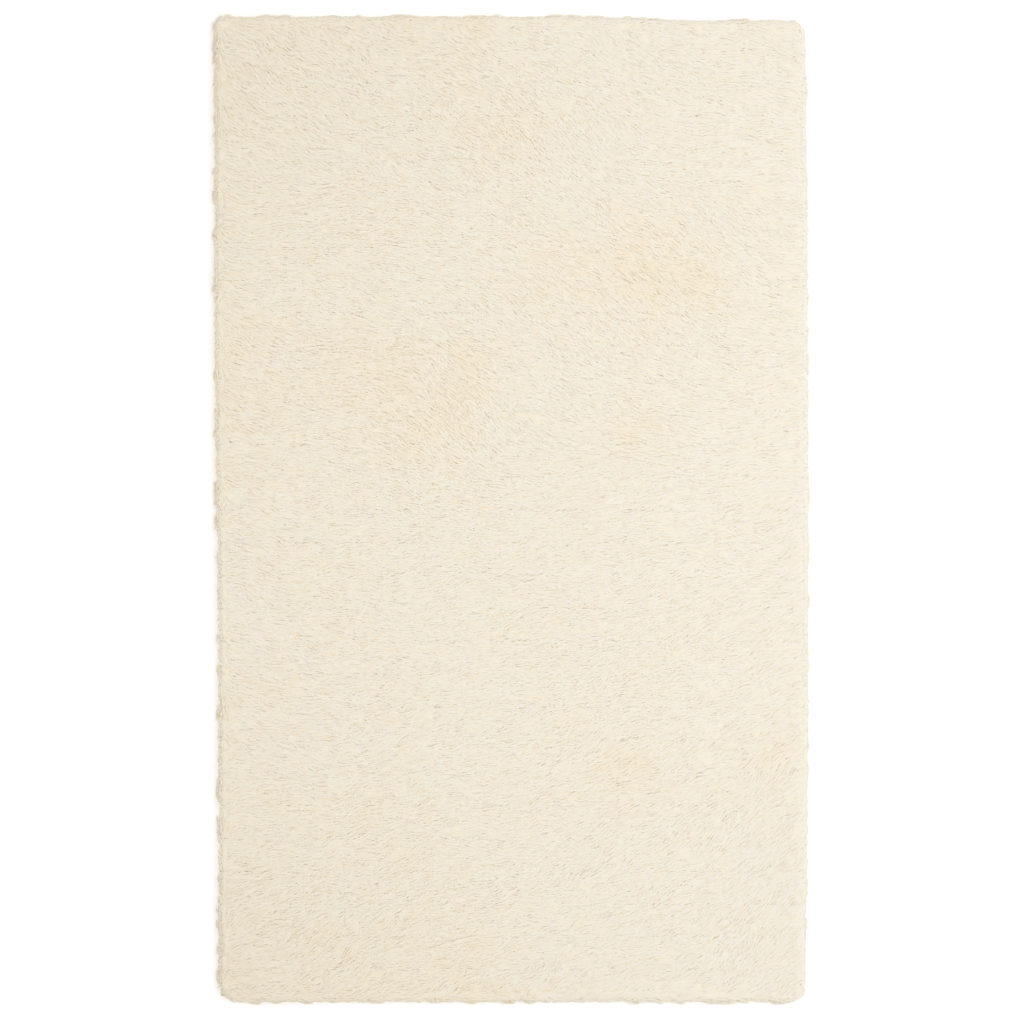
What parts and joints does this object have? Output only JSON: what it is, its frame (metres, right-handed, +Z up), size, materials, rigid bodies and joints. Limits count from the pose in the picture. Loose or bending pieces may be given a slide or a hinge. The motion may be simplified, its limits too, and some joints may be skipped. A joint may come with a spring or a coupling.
{
  "type": "area rug",
  "caption": "Rectangular long-pile wool rug, tufted through a cloth backing with bound edges; lies flat on a floor.",
  "frame": {"origin": "centre of the rug's footprint, on the floor", "axes": "+Z up, the pile side; +Y along the long side, foot to head; +X along the short side"},
  "size_m": [1.2, 2, 0.032],
  "materials": {
    "pile_wool": "matt cream wool, long combed locks",
    "ground_cotton": "matt plain weave",
    "latex": "dull rubbery film",
    "canvas_cotton": "matt open plain weave",
    "tape_cotton": "matt herringbone weave",
    "sewing_thread": "slightly shiny twisted thread",
    "label_satin": "satin ribbon, no lettering"
  },
  "bodies": {
    "root": {"ground_cloth": "ground_cotton", "latex_coat": "latex", "canvas_backing": "canvas_cotton", "care_label": "label_satin", "care_label_stitching": "sewing_thread", "binding_tape_left": "tape_cotton", "binding_tape_right": "tape_cotton", "binding_tape_head": "tape_cotton", "binding_tape_foot": "tape_cotton", "tape_stitching_left": "sewing_thread", "tape_stitching_right": "sewing_thread", "tape_stitching_head": "sewing_thread", "tape_stitching_foot": "sewing_thread", "pile_rows_01": "pile_wool", "pile_rows_02": "pile_wool", "pile_rows_03": "pile_wool", "pile_rows_04": "pile_wool", "pile_rows_05": "pile_wool", "pile_rows_06": "pile_wool", "pile_rows_07": "pile_wool", "pile_rows_08": "pile_wool", "pile_rows_09": "pile_wool", "pile_rows_10": "pile_wool", "pile_rows_11": "pile_wool", "pile_rows_12": "pile_wool", "pile_rows_13": "pile_wool", "pile_rows_14": "pile_wool", "pile_rows_15": "pile_wool", "pile_rows_16": "pile_wool", "pile_rows_17": "pile_wool", "pile_rows_18": "pile_wool", "pile_rows_19": "pile_wool", "pile_rows_20": "pile_wool", "pile_rows_21": "pile_wool", "pile_rows_22": "pile_wool", "pile_rows_23": "pile_wool", "pile_rows_24": "pile_wool", "pile_rows_25": "pile_wool", "pile_rows_26": "pile_wool", "pile_rows_27": "pile_wool", "pile_rows_28": "pile_wool", "pile_rows_29": "pile_wool", "pile_rows_30": "pile_wool"}
  },
  "joints": []
}
